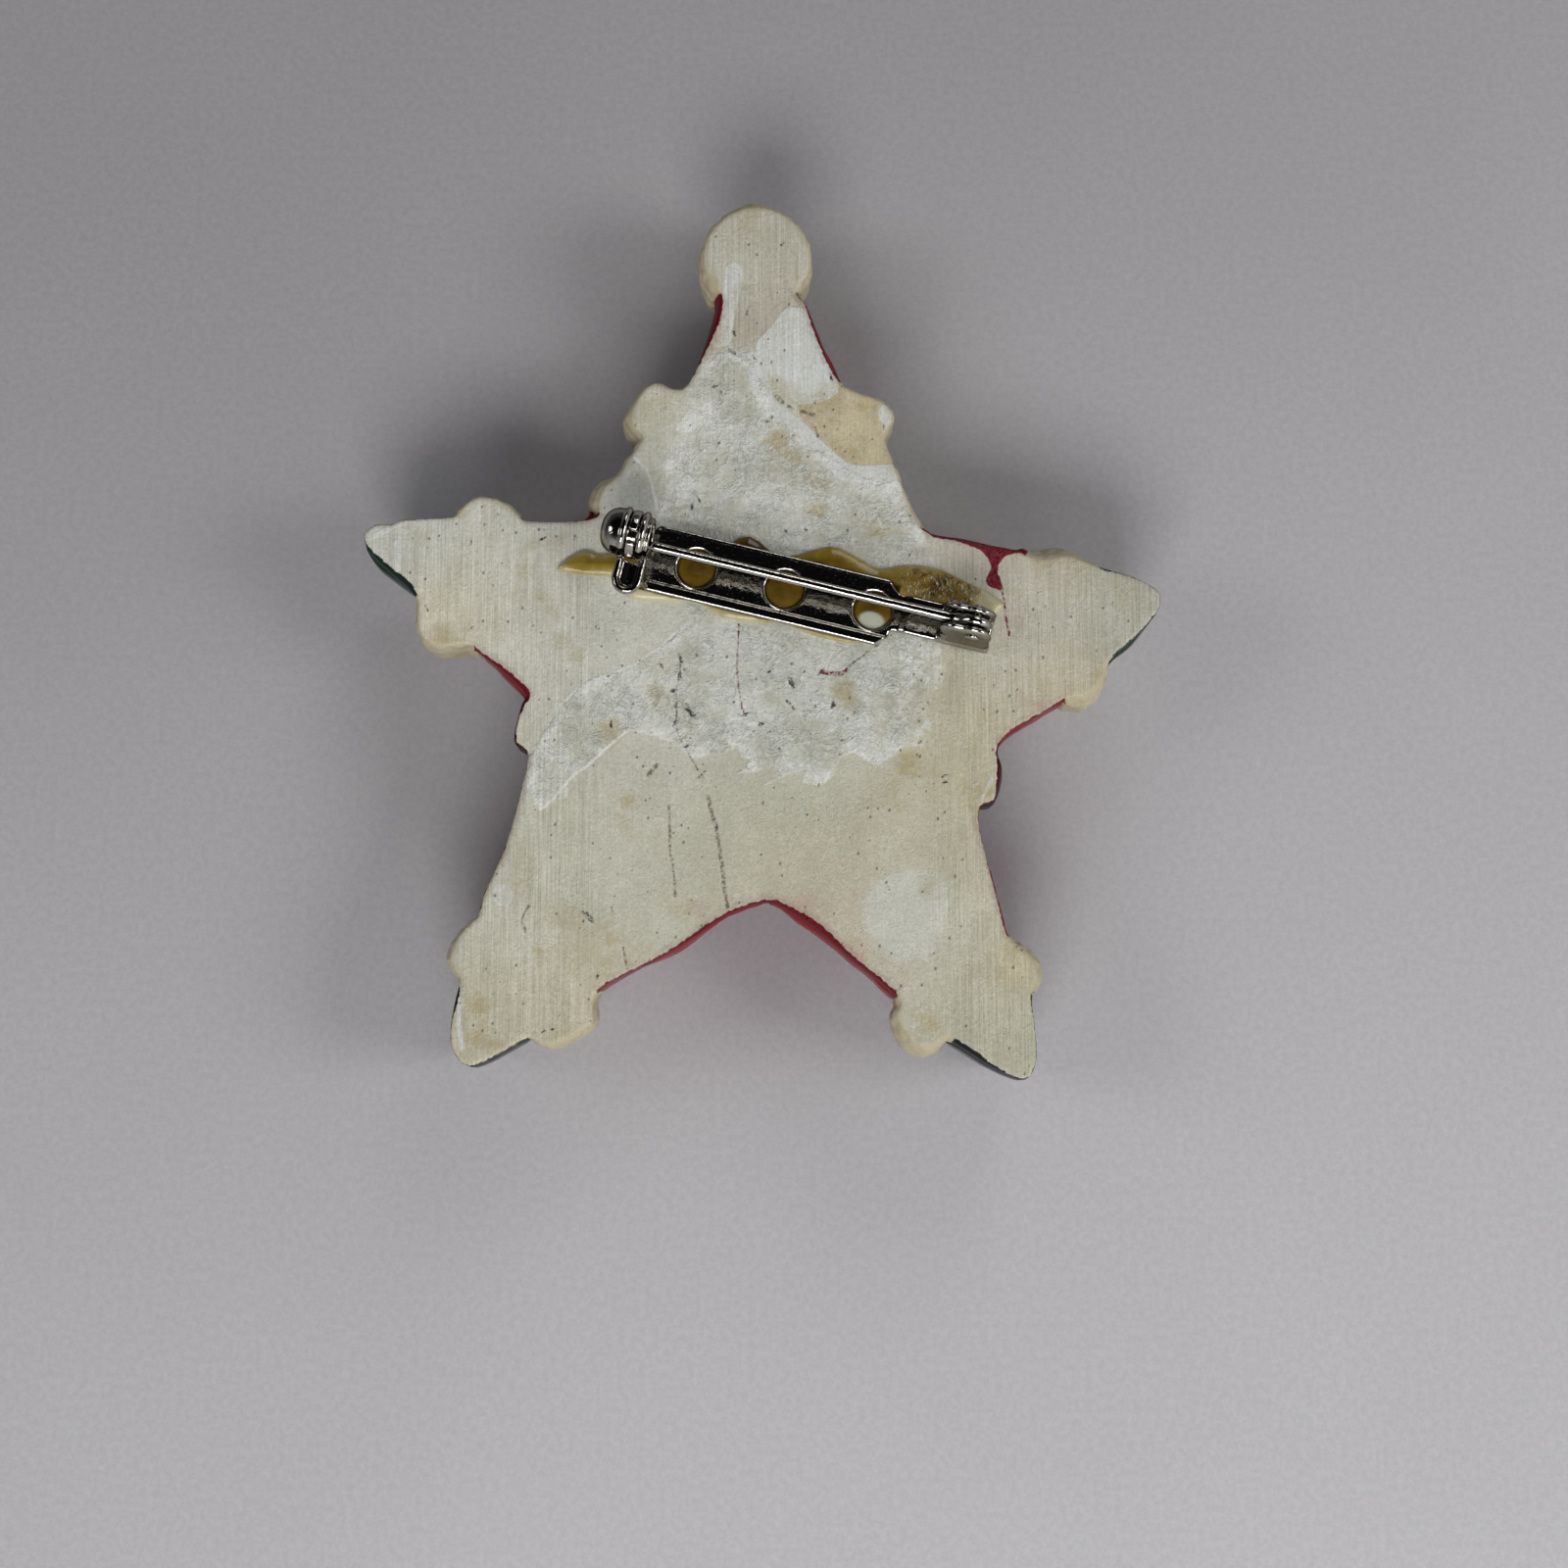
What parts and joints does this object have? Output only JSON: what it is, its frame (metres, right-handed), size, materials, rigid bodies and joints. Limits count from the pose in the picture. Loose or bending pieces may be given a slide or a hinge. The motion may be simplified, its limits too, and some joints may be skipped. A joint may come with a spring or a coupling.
{
  "type": "ornament brooch",
  "caption": "Star-shaped cast resin Santa brooch, lying face down, with a hinged bar pin and turning safety catch glued to its flat back.",
  "frame": {"origin": "middle of the outline, on the surface that the front relief rests on", "axes": "+Z out of the flat back, +Y towards the pompom of the hat, +X to the right as seen from behind"},
  "size_m": [0.0646, 0.0712, 0.0166],
  "materials": {
    "bare_resin": "unpainted ivory cast resin, sanded flat, with white and stained patches",
    "ivory_fur": "ivory paint over a modelled fur texture",
    "red_paint": "deep red paint on resin, satin varnish",
    "skin_paint": "flesh paint on resin, satin varnish",
    "green_paint": "dark green paint on resin, satin varnish",
    "black_paint": "black paint on resin, satin varnish",
    "gold_paint": "gold paint on resin",
    "adhesive": "hardened amber glue, glossy, rough where it was torn",
    "nickel": "nickel-plated stamped steel, bright, slightly pitted"
  },
  "bodies": {
    "ornament": {"back_slab": "bare_resin", "pompom": "ivory_fur", "hat": "red_paint", "hat_brim": "ivory_fur", "hair": "ivory_fur", "face": "skin_paint", "nose": "skin_paint", "moustache": "ivory_fur", "beard": "ivory_fur", "coat": "red_paint", "left_sleeve": "red_paint", "right_sleeve": "red_paint", "left_wrist_cuff": "ivory_fur", "right_wrist_cuff": "ivory_fur", "left_mitten": "green_paint", "right_mitten": "green_paint", "belt": "black_paint", "belt_buckle": "gold_paint", "left_leg": "red_paint", "right_leg": "red_paint", "left_ankle_cuff": "ivory_fur", "right_ankle_cuff": "ivory_fur", "left_boot": "black_paint", "right_boot": "black_paint", "adhesive": "adhesive", "pin_bar": "nickel", "hinge_rivet": "nickel"},
    "stem": {"pin_stem": "nickel"},
    "catch": {"catch_barrel": "nickel"}
  },
  "joints": [
    {"name": "stem_swing", "type": "hinge", "parent": "ornament", "child": "stem", "pos_m": [0.01679, 0.00023, 0.0146], "axis": [0.2368, 0.9715, 0], "range_deg": [0, 110]},
    {"name": "catch_turn", "type": "hinge", "parent": "ornament", "child": "catch", "pos_m": [-0.01029, 0.00739, 0.0146], "axis": [-0.9715, 0.2368, 0], "range_deg": [0, 53]}
  ]
}
